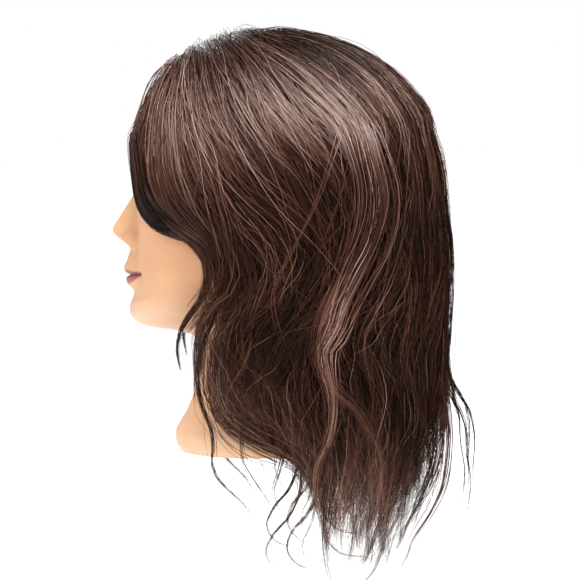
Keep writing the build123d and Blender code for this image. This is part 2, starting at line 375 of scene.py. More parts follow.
def around(level, share, angle, inset=0.0):
    """Points of the section at a level, scaled by a share, at an angle from the front."""
    front, back, half, middle = np.moveaxis(BODY(level), -1, 0)
    forward = np.cos(angle) > 0
    power = np.where(forward, section_power(level), 2.0)
    c, s = np.cos(angle), np.sin(angle)
    spread = (np.abs(c) ** power + np.abs(s) ** power) ** (-1 / power)
    depth = np.where(forward, middle - front, back - middle)
    x = (half - inset) * share * s * spread
    y = middle - (depth - inset) * share * c * spread
    return x, y


# Spacing of the skin's rows at each level.
ROW_SPACING = curve_through(
    (0, 1.5), (6, 2.4), (60, 2.4), (84, 1.6), (92, 1), (160, 0.95), (SKULL_LEVEL, 1.6)
)


def skin_rows():
    """Levels up the neck and face, then angles up the dome, close together where the form turns."""
    fine = np.linspace(0.0, SKULL_LEVEL, 4000)
    front = BODY(fine)[:, 0]
    steps = np.hypot(np.diff(fine), np.diff(front)) / ROW_SPACING(fine)[1:]
    run = np.concatenate(([0.0], np.cumsum(steps)))
    levels = np.interp(np.arange(int(run[-1]) + 1), run, fine)
    return levels, np.linspace(0.0, math.pi / 2, 62)[1:-1]


def skin_surface(levels, domes, columns, inset=0.0, features=True):
    """Grid of points of the head's skin, one row for each level and each dome angle."""
    turn = np.arange(columns) / columns
    angle = 2 * math.pi * turn - 0.42 * np.sin(2 * math.pi * turn)
    level = np.concatenate((levels, np.full(len(domes), SKULL_LEVEL)))
    lift = np.concatenate((np.zeros(len(levels)), domes))
    angle, level, lift = np.broadcast_arrays(angle, level[:, None], lift[:, None])
    x, y = around(level, np.cos(lift), angle, inset)
    z = level + (SKULL_HEIGHT - inset) * np.sin(lift)
    jaw = 22.0 * bell((level - 88) / 26) * smoothstep(0.0, 1.0, np.abs(np.sin(angle)) ** 1.5)
    z = z + np.where(lift > 0, 0.0, jaw)
    if features:
        facing = smoothstep(0.15, 0.6, np.cos(angle)) * smoothstep(86, 93, level)
        y = y - face_relief(x, z) * facing
        aside = smoothstep(0.6, 0.9, np.abs(np.sin(angle)))
        x = x + np.sign(x) * ear_relief(y, z) * aside
    return np.stack((x, y, z), axis=-1)


def grid_faces(rows, columns):
    """Quads of a closed band of rows."""
    row, column = np.meshgrid(np.arange(rows - 1) * columns, np.arange(columns), indexing="ij")
    here, after = row + column, row + (column + 1) % columns
    return np.stack((here, after, after + columns, here + columns), axis=-1).reshape(-1, 4)


def cap_faces(ring_start, columns, tip, flip=False):
    """Triangles from a ring of points to its tip."""
    c = np.arange(columns)
    tris = np.stack((ring_start + c, ring_start + (c + 1) % columns, np.full(columns, tip)), axis=-1)
    return tris[:, ::-1] if flip else tris


SKIN_TONE = np.array((0.64, 0.365, 0.2))
# Painted shade beside the nose, round its wings and under it, in the eye sockets, under the lip and at the
# temples by the hair: the middle's x and z, the spread over each, and the strength.
PAINTED_FACE_SHADE = (
    (12.5, 168, 4.5, 16, 0.36), (17.5, 148, 2.6, 8, 0.5), (7, 141.5, 8, 2.6, 0.42), (27, 187, 14, 5, 0.4),
    (0, 110.5, 11, 3, 0.25), (62, 150, 14, 16, 0.3),
)
# Level of the hairline at each y.
HAIRLINE = curve_through(
    (-100, 258), (-62, 243), (-50, 222), (-30, 194), (-12, 176), (4, 170), (12, 196), (34, 198), (44, 162),
    (60, 128), (110, 104),
)


def skin_colours(points):
    """Paint of the skin, painted shade and light among it, with a fourth value that is 1 on bare vinyl and 0
    on the dark scalp.
    """
    x, y, z = points.T
    aside = np.abs(x)
    front = y < 0
    colour = np.tile(SKIN_TONE, (len(points), 1))

    def blend(mask, target, where=front):
        nonlocal colour
        colour = colour + (np.array(target) - colour) * (mask * where)[:, None]

    # warm cheeks, partly blush and partly painted shade from the hair; painted light from below under the
    # jaw and low on the neck; painted shade on the skin behind the face, under the hair
    blend(bump_at(aside, z, 40, 148, 18, 20, 0.3), (0.68, 0.31, 0.17))
    blend(0.45 * smoothstep(112, 92, z) * smoothstep(70, 84, z), (0.84, 0.6, 0.46))
    blend(0.4 * smoothstep(40, 10, z), (0.8, 0.55, 0.38))
    blend(0.45 * smoothstep(-62, -36, y) * smoothstep(48, 100, z), (0.58, 0.27, 0.12), where=1)
    # painted shade in the creases and hollows, under the nose and by the hair
    for spot in PAINTED_FACE_SHADE:
        blend(bump_at(aside, z, *spot), (0.45, 0.2, 0.09))
    # lips, then painted shadow in the seam between them and in the nostrils
    full = lip_spread(x)
    reach = np.maximum(full, 0.04) ** 0.55
    bow = 1 - 0.25 * bell(x / 3.0)
    above = from_mouth(x, z)
    upper = np.clip(above / (4.4 * reach * bow), -9, 9)
    lower = np.clip(-above / (6.8 * reach), -9, 9)
    red = np.where(above > 0, 1 - smoothstep(0.8, 1.1, upper), 1 - smoothstep(0.85, 1.12, lower))
    blend(red * (full > 0.02), (0.36, 0.075, 0.07))
    # painted shadow in the seam of the mouth
    blend(0.9 * bell(above / 1.1) * (aside < 24.5), (0.05, 0.01, 0.01))
    # nostrils painted dark as painted shadow
    blend(bump_at(aside, z, 5.9, 143.8, 2.2, 1.5, 0.9), (0.06, 0.02, 0.015))
    # eyes: the white, greyed down as painted shade under the fringe, inner corner, lower lid, iris, pupil
    # and upper lid
    arch = 1 - ((aside - EYE[0]) / 14.0) ** 2
    lid_top, lid_low = EYE[1] + 5.0 * arch, EYE[1] - 3.8 * arch
    inside = (arch > 0) * smoothstep(0.9, -0.3, z - lid_top) * smoothstep(0.9, -0.3, lid_low - z)
    from_pupil = np.hypot(aside - EYE[0], z - EYE[1] - 0.6)
    blend(inside, (0.36, 0.3, 0.26))
    blend(inside * smoothstep(22, 18, aside), (0.32, 0.13, 0.1))
    blend((arch > 0) * 0.5 * bell(z - lid_low), (0.25, 0.1, 0.05))
    blend(inside * smoothstep(6.3, 5.3, from_pupil), (0.09, 0.045, 0.02))
    blend(inside * smoothstep(3.0, 2.0, from_pupil), (0.004, 0.004, 0.004))
    blend((arch > 0) * 0.85 * bell((z - lid_top) / 1.1), (0.03, 0.015, 0.01))
    # brows, then the scalp, painted near black for its dense roots and as painted shade under the hair
    brow = bell((z - 193.5 - 2.2 * np.cos((aside - 30) / 9)) / 2.2)
    brow *= smoothstep(12, 18, aside) * (1 - smoothstep(42, 50, aside))
    blend(0.75 * brow, (0.08, 0.035, 0.02))
    rooted = smoothstep(-2, 8, z - HAIRLINE(y)) * (z > 96)
    blend(0.97 * rooted, (0.02, 0.009, 0.006), where=1)
    return np.column_stack((colour, 1 - rooted))


def vinyl_material():
    """Soft vinyl with its paint: mottled, finely grained, and matt on the scalp."""
    vinyl = Shader(
        "skin_vinyl",
        IOR=1.45,
        Subsurface_Weight=0.12,
        Subsurface_Radius=(0.9, 0.35, 0.2),
        Subsurface_Scale=0.004,
    )
    painted = vinyl.node("Attribute", attribute_name="paint")
    blotch = vinyl.ramp(vinyl.noise(38.0, 4.0), (0.3, (0.93, 0.91, 0.89)), (0.7, (1.04, 1.03, 1.02)))
    vinyl.feed(
        Base_Color=vinyl.mix("MULTIPLY", 1.0, painted.outputs["Color"], blotch),
        Roughness=vinyl.ramp(painted.outputs["Alpha"], (0.0, 0.95), (1.0, 0.47)),
    )
    vinyl.bump(vinyl.noise(900.0, 3.0, 0.6), 0.12, 0.0004)
    return vinyl.material


def make_skin():
    """The shell: its outside with the face, its plain inside, and the flat rim round the base's opening."""
    columns = 264
    levels, domes = skin_rows()
    outer = skin_surface(levels, domes, columns)
    inner_levels = np.linspace(SKIN, SKULL_LEVEL, 34)
    inner = skin_surface(inner_levels, domes[::6], columns, inset=SKIN, features=False)
    angle = np.arctan2(outer[0, :, 0], -outer[0, :, 1])
    rim = BASE_OPENING * np.stack((np.sin(angle), -np.cos(angle)), axis=-1)
    rims = [np.column_stack((rim, np.full(columns, height))) for height in (SKIN, 0.0)]
    rows = np.stack((*inner[::-1], *rims, *outer))
    crown = SKULL_LEVEL + SKULL_HEIGHT
    points = np.concatenate((rows.reshape(-1, 3), ((0, 18.0, crown - SKIN), (0, 18.0, crown))))
    last = (len(rows) - 1) * columns
    inner_cap = cap_faces(0, columns, len(points) - 2, flip=True)
    outer_cap = cap_faces(last, columns, len(points) - 1)
    faces = [grid_faces(len(rows), columns), np.concatenate((inner_cap, outer_cap))]
    piece = make_mesh("skin", points, faces, colours=skin_colours(points))
    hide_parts("head_skin")
    piece.data.materials.append(vinyl_material())


make_skin()


# -------------------- hair
HAIR_SEED = 11
STRANDS = 1080  # in each zone's piece, which keeps it under 200,000 triangles
POINTS = 32  # along each strand
HAIR_RADIUS = (0.16, 0.28)
STRAY_SHARE = 0.13  # of the hairs of each zone
STEPS, STEP = 92, 6.0  # the most steps that a strand grows by, and the length of each
ROOM = 55.0  # radius kept free under the base for the holder
HAIR_MIDDLE = 24.0  # y where the hair's outer form is widest
FINER = 7  # small locks in each large one
PARTING_SHIFT = 14.0  # how far the parting bows to the right
WHORL = -27.0  # y at the rear end of the parting
SHADES = 48  # columns of the hair's UV map, from dark to light

# Where the hair heads for on the left of the head: at (y, z), the outward, backward and upward parts. The
# last one is -1 where a row leaves it out.
FLOW_ROWS = (
    # parting, top and crown
    (-64, 262, 0.12, -0.6, -0.5), (-42, 276, 0.7, -0.1, -0.35), (-15, 288, 0.9, 0.6, -0.2),
    (15, 293, 0.6, 1, -0.15), (45, 289, 0.5, 1, -0.35), (75, 272, 0.4, 1, -0.7), (100, 247, 0.2, 0.6),
    (115, 220, 0.1, 0.35),
    # fringe
    (-78, 240, 0.02, -0.3), (-84, 215, 0.02, 0), (-85, 198, 0.08, 0.05), (-83, 185, 0.5, 0.2),
    (-79, 173, 1, 0.9, -0.9), (-73, 162, 0.8, 2.2, -0.8), (-88, 165, 0.8, 1.5, -0.6),
    (-84, 145, 0.2, 1.6, 0), (-70, 130, 0, 1.5, 0.3), (-55, 128, 0, 1.5, 0.4), (-62, 105, 0, 0.9),
    (-60, 154, 0.3, 2.4, -0.4), (-46, 149, 0.1, 2, -0.8), (-37, 140, 0, 0.7), (-33, 123, 0, -0.15),
    (-38, 108, 0, -0.65), (-46, 96, 0, -0.45), (-51, 82, 0, 0), (-49, 64, 0, 0.3), (-66, 225, 0.3, 0.08),
    (-66, 200, 0.1, 0.12), (-62, 178, 0.15, 0.5), (-50, 250, 0.8, 0), (-45, 220, 0.3, 0.12),
    (-42, 195, 0.1, 0.2), (-42, 170, 0.05, 0.7),
    # side
    (-25, 262, 0.9, 0.4), (-25, 235, 0.4, 0.4), (-25, 210, 0.15, 0.65), (-22, 180, 0.05, 0.95),
    (-20, 155, 0, 0.8), (-17, 132, 0, 0.1), (-20, 112, 0, -0.5), (-30, 92, -0.05, -0.7),
    (-38, 72, -0.05, -0.1), (-39, 50, 0, -0.02), (-32, 32, 0, 0.6), (-5, 250, 0.7, 0.5), (0, 222, 0.3, 0.7),
    (5, 195, 0.1, 0.95), (3, 170, 0, 1), (4, 145, 0, 0.6), (8, 125, 0, 0), (0, 105, 0, -0.8),
    (-10, 85, -0.05, -0.6), (-15, 62, 0, 0.2), (-8, 40, 0, 1.2), (0, 20, 0, 2, -0.9), (20, 8, 0, 2),
    (22, 245, 0.7, 1), (28, 218, 0.25, 1.1), (32, 192, 0.1, 0.9), (25, 168, 0, 0.7), (22, 145, 0, 0.15),
    (20, 122, 0, -0.35), (12, 102, 0, -1.1), (8, 72, 0, -0.2), (15, 48, 0, 0.8), (30, 25, 0, 1),
    # crown and back
    (50, 252, 0.5, 1), (55, 222, 0.2, 0.85), (55, 195, 0.1, 0.7), (52, 168, 0, 0.4), (50, 142, 0, -0.1),
    (45, 118, 0, -0.45), (38, 92, 0, -0.5), (34, 68, 0, 0), (40, 42, 0, 0.35), (48, 18, 0, 0),
    (80, 225, 0.2, 0.7), (82, 195, 0.1, 0.45), (80, 165, 0, 0.15), (74, 135, 0, -0.35), (62, 108, 0, -0.45),
    (52, 82, 0, -0.3), (56, 55, 0, 0.25), (68, 30, 0, 0.4), (105, 195, 0.05, 0.3), (108, 165, 0, 0.1),
    (105, 130, 0, -0.2), (95, 100, 0, -0.4), (85, 72, 0, 0), (92, 45, 0, 0.4), (126, 190, 0, 0.15),
    (130, 150, 0, 0.05), (130, 110, 0, -0.1), (122, 85, 0, -0.2), (122, 55, 0, 0.35), (130, 25, 0, 0.15),
    # ends
    (132, -5, -0.05, -0.15), (126, -28, -0.1, -0.55), (112, -52, -0.1, -0.6), (100, -76, -0.05, -0.3),
    (108, 10, -0.05, 0.1), (100, -20, -0.1, -0.3), (86, -48, -0.1, -0.25), (84, -78, -0.05, -0.4),
    (80, 0, -0.05, 0.1), (74, -25, -0.1, 0), (66, -50, -0.1, 0), (62, -78, 0, 0.1), (50, -8, -0.1, 0.1),
    (46, -28, -0.1, 0.3), (48, -50, -0.1, 0.1), (52, -75, 0, 0.2), (36, -6, -0.1, 0.9),
)
FLOW = np.array([(*row, -1)[:5] for row in FLOW_ROWS], float)
FLOW_REACH = 13.0
# Depth of the hair over the skin: at (y, z), the distance.
DEPTH = np.array([
    (-80, 165, 5), (-83, 190, 4), (-80, 225, 7), (-70, 247, 8), (-60, 258, 11), (-45, 266, 19),
    (-20, 277, 20), (10, 284, 7), (45, 280, 6), (75, 266, 9.5), (95, 248, 12), (108, 230, 14),
    (115, 210, 18), (120, 180, 23), (118, 130, 26), (-60, 150, 9), (-45, 138, 9), (-35, 115, 10),
    (-45, 95, 9), (-40, 200, 13), (-30, 160, 12), (0, 225, 14), (0, 185, 16), (0, 140, 16), (40, 225, 14),
    (45, 185, 17), (45, 140, 19), (85, 190, 20), (85, 140, 24), (0, 90, 20), (50, 80, 26), (100, 80, 30),
    (0, 30, 12), (50, 30, 26), (100, 30, 40),
], float)
DEPTH_REACH = 20.0
# Outer form of the hair: level, half width and rearmost point.
HAIR_FORM = curve_through(
    (-110, 38, 84), (-77, 52, 101), (-54, 64, 110), (-39, 72, 121), (-15, 80, 132), (10, 85, 134),
    (60, 90, 134), (140, 92, 136), (182, 91, 134), (205, 91, 129), (222, 90, 123),
)
FORM_TOP = 230.0
# How low the hair reaches at each y.
LOWEST = curve_through(
    (-56, 100), (-50, 92), (-44, 84), (-39, 36), (-28, 23), (-15, 19), (0, 13), (20, 3), (32, -10),
    (38, -30), (46, -62), (54, -76), (66, -84), (82, -84), (100, -74), (112, -56), (124, -36), (134, -14),
    (150, 0),
)
# Painted sheen and painted shade on the hair, with some of its own tone: lighter bands where the light
# catches it, darker in its hollows and under its lower edges. At (y, z), how far over y and z it reaches,
# and how much lighter or darker it is.
HAIR_SHEEN_AND_SHADE_SPOTS = (
    (-50, 222, 38, 44, 0.37), (8, 236, 34, 34, 0.42), (66, 234, 42, 28, 0.54), (97, 252, 24, 14, 0.08),
    (-60, 160, 16, 9, -0.2), (42, 134, 16, 26, -0.12), (14, 84, 20, 16, -0.08), (-12, 125, 12, 22, -0.08),
    (96, 155, 30, 36, -0.14), (54, 82, 9, 44, 0.28), (0, 50, 36, 26, -0.06), (86, -30, 44, 40, 0.28),
    (108, 22, 16, 40, -0.16),
)


def both_sides(seed):
    """Each side's word and sign, with random numbers of its own."""
    for number, (word, side) in enumerate(SIDES):
        yield word, side, np.random.default_rng(HAIR_SEED + seed + number)


def blend_of(table, reach, points):
    """Values of a table of (y, z, values) at each point, softly blended."""
    gap = (points[:, None, 1:] - table[None, :, :2]) / reach
    weight = np.exp(-0.5 * (gap**2).sum(axis=-1)) + 1e-9
    return (weight @ table[:, 2:]) / weight.sum(axis=1, keepdims=True)


def parted(y):
    """1 where the hair is parted down the middle, at the front of the head, and 0 behind it."""
    return smoothstep(-22, -48, y)


def parting(y):
    """How far the parting lies from the middle: it bows to the right on top of the head."""
    return -PARTING_SHIFT * smoothstep(-62, -48, y) * smoothstep(4, -18, y)


def at_front(y):
    """1 where the hair of one side keeps to that side, over the forehead, and 0 behind it."""
    return smoothstep(-50, -64, y)


def flow_at(points, side):
    """Direction the hair takes at each point; behind the parting it runs straight back along the middle."""
    heading = blend_of(FLOW, FLOW_REACH, points)
    apart = smoothstep(-4.0, 26.0, side * (points[:, 0] - parting(points[:, 1])))
    heading[:, 0] *= side * np.maximum(apart, parted(points[:, 1]))
    return unit(heading)


def over_head(points):
    """Height of each point over the head, the neck or the room under the base, and the way out."""
    x, y, z = points.T
    level = np.clip(z, 0.0, SKULL_LEVEL)
    section = np.where((z < 0)[:, None], (-ROOM, ROOM, ROOM, 0.0), BODY(level))
    front, back, half, middle = section.T
    forward = y < middle
    power = np.where(forward, section_power(level), 2.0)
    depth = np.where(forward, middle - front, back - middle)
    u, v = x / half, (y - middle) / depth
    w = np.maximum(z - SKULL_LEVEL, 0.0) / SKULL_HEIGHT
    flat = (np.abs(u) ** power + np.abs(v) ** power) ** (1 / power)
    full = np.sqrt(flat**2 + w**2)
    scale = np.maximum(flat, 1e-6) ** (2 - power)
    out_x = np.sign(u) * np.abs(u) ** (power - 1) * scale / half
    out_y = np.sign(v) * np.abs(v) ** (power - 1) * scale / depth
    normal = np.stack((out_x, out_y, w / SKULL_HEIGHT), axis=-1)
    slope = np.linalg.norm(normal, axis=-1) / np.maximum(full, 1e-6)
    return (full - 1) / np.maximum(slope, 1e-6), unit(normal)


# The edge of the face that the hair leaves open: its top at each y and its rear at each level.
FACE_TOP = curve_through(
    (-90, 182), (-82, 178), (-75, 161), (-67, 152), (-60, 149.5), (-46, 149), (-39, 143), (-34, 134),
)
FACE_REAR = curve_through(
    (0, -42), (36, -41), (60, -39), (80, -40), (86, -49), (96, -48), (108, -41), (124, -34), (134, -35),
    (143, -40), (150, -46),
)


def over_face(strands, lowest=0.0):
    """Which strands lie over the part of the face that is left open, above a lowest level."""
    x, y, z = np.moveaxis(strands, -1, 0)
    open_face = (z < FACE_TOP(y) - 1) & (y < FACE_REAR(z) - 1) & (z < 180) & (z > lowest)
    forehead = (np.abs(x) < 11) & (y < -70) & (z < 228)
    return (open_face | forehead).any(axis=1)


def over_throat(strands):
    """Which strands cross the front of the neck."""
    x, y, z = np.moveaxis(strands, -1, 0)
    return ((np.abs(x) < 42) & (y < -15) & (z < 92) & (z > -5)).any(axis=1)


def near_ear(points):
    """1 at the ear, fading to 0 round it."""
    ring = np.hypot((points[..., 1] - EAR[0]) / 19, (points[..., 2] - EAR[1]) / 33)
    return 1 - smoothstep(0.8, 1.3, ring)


def held_in(points):
    """Draws points back to the hair's outer form, at the sides and behind."""
    free, margin = 0.93, 0.07  # shares of the form: where hair lies free, and the rest
    half, back = np.moveaxis(HAIR_FORM(points[:, 2]), -1, 0)
    behind = np.maximum(points[:, 1] - HAIR_MIDDLE, 0.0)
    full = np.hypot(points[:, 0] / half, behind / (back - HAIR_MIDDLE))
    over = np.maximum(full - free, 0.0)
    drawn = (free + margin * np.tanh(over / margin)) / np.maximum(full, 1e-6)
    share = np.where(over > 0, drawn, 1.0)
    share = 1 + (share - 1) * smoothstep(FORM_TOP + 15, FORM_TOP - 15, points[:, 2])
    held = points.copy()
    held[:, 0] *= share
    held[:, 1] += behind * (share - 1)
    return held


def scalp_roots(rng, count, side, zone):
    """Roots on one side of the scalp inside a zone, a test on (y, z); close together at the parting."""
    found, total, tries = [], 0, 20000
    while total < count:
        angle = rng.uniform(0, 2 * math.pi, tries)
        z = rng.uniform(98, SKULL_LEVEL + SKULL_HEIGHT - 0.2, tries)
        share = np.sqrt(1 - np.clip((z - SKULL_LEVEL) / SKULL_HEIGHT, 0, 1) ** 2)
        x, y = around(np.minimum(z, SKULL_LEVEL), share, angle)
        aside = x - parting(y)
        keep = (z > HAIRLINE(y)) & (side * aside > 0.3 - 7 * (1 - at_front(y))) & zone(y, z)
        middle = 0.3 * bell(aside / 26) + 0.45 * bell(aside / 8)
        whorl = bump_at(aside, y, 0, WHORL, 11, 15, 0.8)
        crowd = 0.22 + (middle + whorl) * smoothstep(205, 240, z)
        keep &= rng.uniform(0, 1, tries) < crowd
        found.append(np.stack((x, y, z), axis=-1)[keep])
        total += keep.sum()
    return np.concatenate(found)[:count]


def grow(roots, side, layer, reach, lock, wander, rng):
    """Marches every strand from its root, over the head and down, and finds where it ends."""
    count, locks = len(roots), lock.max() + 1
    points = roots.copy()
    y0, z0 = roots[:, 1], roots[:, 2]
    _, normal = over_head(points)
    heading = flow_at(points, side)
    heading[:, 1] -= 0.9 * smoothstep(-42, -62, y0)
    heading = unit(unit(heading) + 0.35 * normal)
    rise = 26.0 - 17.0 * smoothstep(240, 268, z0)
    path = np.empty((STEPS + 1, count, 3))
    path[0] = points
    own = rng.normal(0, (0.06, 0.1, 0), (count, 3))
    shared = rng.normal(0, (0.08, 0.18, 0), (locks, 3))
    for step in range(STEPS):
        # Each strand and each lock strays from the common flow, more so where the hair hangs free.
        own = 0.93 * own + rng.normal(0, (0.016, 0.04, 0), (count, 3))
        shared = 0.94 * shared + rng.normal(0, (0.03, 0.075, 0), (locks, 3))
        loose = (0.35 + 0.9 * smoothstep(215, 90, points[:, 2])) * smoothstep(-90, -25, points[:, 1])
        goal = flow_at(points, side) + (own * wander[:, None] + shared[lock]) * loose[:, None]
        # A strand's layer sets its height over the head: it turns in above that, and slides along at it.
        height, normal = over_head(points)
        full_lift = 0.7 + layer * blend_of(DEPTH, DEPTH_REACH, points)[:, 0]
        full_lift = np.maximum(full_lift, 9.0 * near_ear(points))
        lift = full_lift * (1 - np.exp(-step * STEP / rise))
        hug = 0.8 * smoothstep(0.5, 6.0, height - lift) * smoothstep(165, 185, points[:, 2])
        goal = goal - normal * hug[:, None]
        inward = np.minimum((goal * normal).sum(axis=1), 0.0)
        touching = smoothstep(4.0, 0.0, height - lift)
        goal = goal - normal * (inward * touching)[:, None]
        heading = unit(0.5 * heading + 0.5 * unit(goal))
        points = points + heading * STEP
        height, normal = over_head(points)
        points = points + normal * np.clip(lift - height, 0.0, 4.0)[:, None]
        points = held_in(points)
        # Over the forehead no strand crosses the parting.
        cross = np.maximum(0.3 - side * (points[:, 0] - parting(points[:, 1])), 0.0) * side
        points[:, 0] += cross * at_front(points[:, 1]) * (points[:, 2] > 100)
        path[step + 1] = points
    low = LOWEST(path[..., 1]) + reach * (0.4 + 0.6 * smoothstep(0, 55, path[..., 1]))
    passed = path[..., 2] < low
    last = np.where(passed.any(axis=0), passed.argmax(axis=0), STEPS)
    return path, np.maximum(last, 6)


def resample(path, last):
    """Each strand as POINTS points, closer together near the root."""
    share = np.linspace(0, 1, POINTS)
    at = (0.72 * share + 0.28 * share**2)[:, None] * last[None, :]
    low = np.minimum(at.astype(int), STEPS - 1)
    part = (at - low)[..., None]
    column = np.arange(path.shape[1])
    return (path[low, column] * (1 - part) + path[low + 1, column] * part).transpose(1, 0, 2)


def nearest(roots, centres):
    """Which of the centres each root belongs to."""
    gap = (roots[:, None] - roots[None, centres]) * np.array((1.0, 1.0, 0.7))
    return np.linalg.norm(gap, axis=-1).argmin(axis=1)


def run_along(strands):
    """Length of each strand from its root to each of its points."""
    length = np.linalg.norm(np.diff(strands, axis=1), axis=-1)
    return np.concatenate((np.zeros((len(strands), 1)), np.cumsum(length, axis=1)), axis=1)


def sideways(strands):
    """The directions across each strand: in the lie of the hair, and out of it."""
    _, normal = over_head(strands.reshape(-1, 3))
    normal = normal.reshape(strands.shape)
    return unit(np.cross(unit(np.gradient(strands, axis=1)), normal)), normal


def wavy(strands, wave, size, phase, grown, depth=0.45):
    """Adds a wave along each strand: its length, height, phase and how far it has grown at each point."""
    across, normal = sideways(strands)
    turn = 2 * math.pi * run_along(strands) / wave[:, None] + phase[:, None]
    height = size[:, None] * grown
    aside, out = np.sin(turn) * height, np.cos(turn) * depth * height
    return strands + across * aside[..., None] + normal * out[..., None]


def grown_strands(roots, side, layers, reach_range, locks, rng):
    """Strands from their roots, gathered in large locks and small ones inside them, and waved."""
    count, small_locks = len(roots), FINER * locks
    # Each strand takes its layer and its length mostly from its locks.
    small_centre = rng.choice(count, small_locks, replace=False)
    large_centre = rng.choice(small_centre, locks, replace=False)
    small = nearest(roots, small_centre)
    large = nearest(roots, large_centre)[small_centre][small]
    large_layer = rng.uniform(*layers, locks)
    large_reach = rng.uniform(0, 1, locks) ** 0.58
    small_reach = rng.normal(0, 0.16, small_locks)
    layer = np.clip(large_layer[large] + rng.normal(0, 0.13, count), 0.02, 1.05)
    end = np.clip(large_reach[large] + small_reach[small] + rng.normal(0, 0.08, count), 0, 1.3)
    reach = reach_range[0] + end * (reach_range[1] - reach_range[0])
    stray = rng.uniform(0, 1, count) < STRAY_SHARE
    strands = resample(*grow(roots, side, layer, reach, large, np.where(stray, 2.6, 1.0), rng))
    # It draws towards the middle strand of its small lock, then of its large one.
    share = np.linspace(0, 1, POINTS)
    for centre, group, tight, start, at_tip in (
        (small_centre, small, rng.uniform(0.4, 0.92, small_locks), 0.05, 0.5),
        (large_centre, large, rng.uniform(0.15, 0.75, locks), 0.2, 0.35),
    ):
        drawn = smoothstep(start, 0.95, share) + at_tip * smoothstep(0.7, 1.0, share)
        pull = np.minimum(np.where(stray, 0.1, tight[group])[:, None] * drawn[None, :], 0.96)
        strands = strands + (strands[centre[group]] - strands) * pull[..., None]
    # It waves where it hangs free: a long wave for each large lock, a short one for each small lock.
    loose = smoothstep(190, 60, strands[..., 2]) * smoothstep(0.15, 0.55, share)[None, :]
    loose = loose * (0.3 + 0.7 * smoothstep(-60, -15, strands[..., 1]))
    wave = rng.uniform(75, 135, locks)[large] * rng.normal(1, 0.03, count)
    phase = 0.035 * roots[:, 1] + rng.uniform(0, 2.4, locks)[large] + rng.normal(0, 0.15, count)
    strands = wavy(strands, wave, rng.uniform(3.5, 9.5, locks)[large], phase, loose)
    wave = rng.uniform(50, 95, small_locks)[small]
    phase = rng.uniform(0, 2 * math.pi, small_locks)[small] + rng.normal(0, 0.3, count)
    strands = wavy(strands, wave, rng.uniform(0.6, 3.6, small_locks)[small], phase, 0.25 + 0.75 * loose)
    # Its shade is darker deep in the hair, as painted shade under the outer layers, and more even over the
    # forehead.
    shade = rng.uniform(0.12, 0.5, small_locks)[small] + rng.normal(0, 0.18, count) - 0.14 * (1 - layer)
    even = 1 - 0.4 * smoothstep(-20, -50, roots[:, 1])
    shade = 0.31 + (shade - 0.31) * even + 0.22 * stray
    tone = rng.normal(0, 0.15, locks)[large]
    shade = shade[:, None] + tone[:, None] * smoothstep(150, 30, strands[..., 2])
    strands = unruly(strands, stray, rng)
    clear = ~over_face(strands)
    return strands[clear], shade[clear], stray[clear]


def unruly(strands, stray, rng):
    """Fine unevenness of every strand; stray hairs stand off."""
    count = len(strands)
    grown = smoothstep(0.04, 0.35, np.linspace(0, 1, POINTS))[None, :]
    size = np.where(stray, rng.uniform(1.2, 5.5, count), rng.uniform(0.1, 0.8, count))
    size = size[:, None] * (0.3 + 0.7 * smoothstep(-75, -35, strands[..., 1]))
    phase = rng.uniform(0, 2 * math.pi, count)
    wave = rng.uniform(50, 110, count)
    return wavy(strands, wave, np.ones(count), phase, grown * size, 0.6)


def clear_of_skin(strands):
    """Lifts strands that lie in the skin or the ear."""
    flat = strands.reshape(-1, 3)
    height, normal = over_head(flat)
    free = 0.25 + 0.5 * smoothstep(0.0, 0.1, np.tile(np.linspace(0, 1, POINTS), len(strands)))
    free += 8.0 * near_ear(flat)
    flat = flat + normal * np.clip(free - height, 0.0, 30.0)[:, None]
    return flat.reshape(strands.shape)


def hair_piece(name, strands, shade, stray, node, rng):
    """One zone of the hair as one mesh of fine tubes."""
    strands = clear_of_skin(strands)
    clear = ~over_throat(strands)
    strands, shade, stray = strands[clear], shade[clear], stray[clear]
    _, y, z = np.moveaxis(strands, -1, 0)
    # painted sheen and painted shade, set by place on the head
    shade = np.clip(shade + sum(bump_at(y, z, *spot) for spot in HAIR_SHEEN_AND_SHADE_SPOTS), 0.01, 0.99)
    radius = rng.uniform(*HAIR_RADIUS, len(strands)) * np.where(stray, 0.6, 1.0)
    piece = tube_mesh(name, strands, radius, shade, HAIR)
    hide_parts(node)


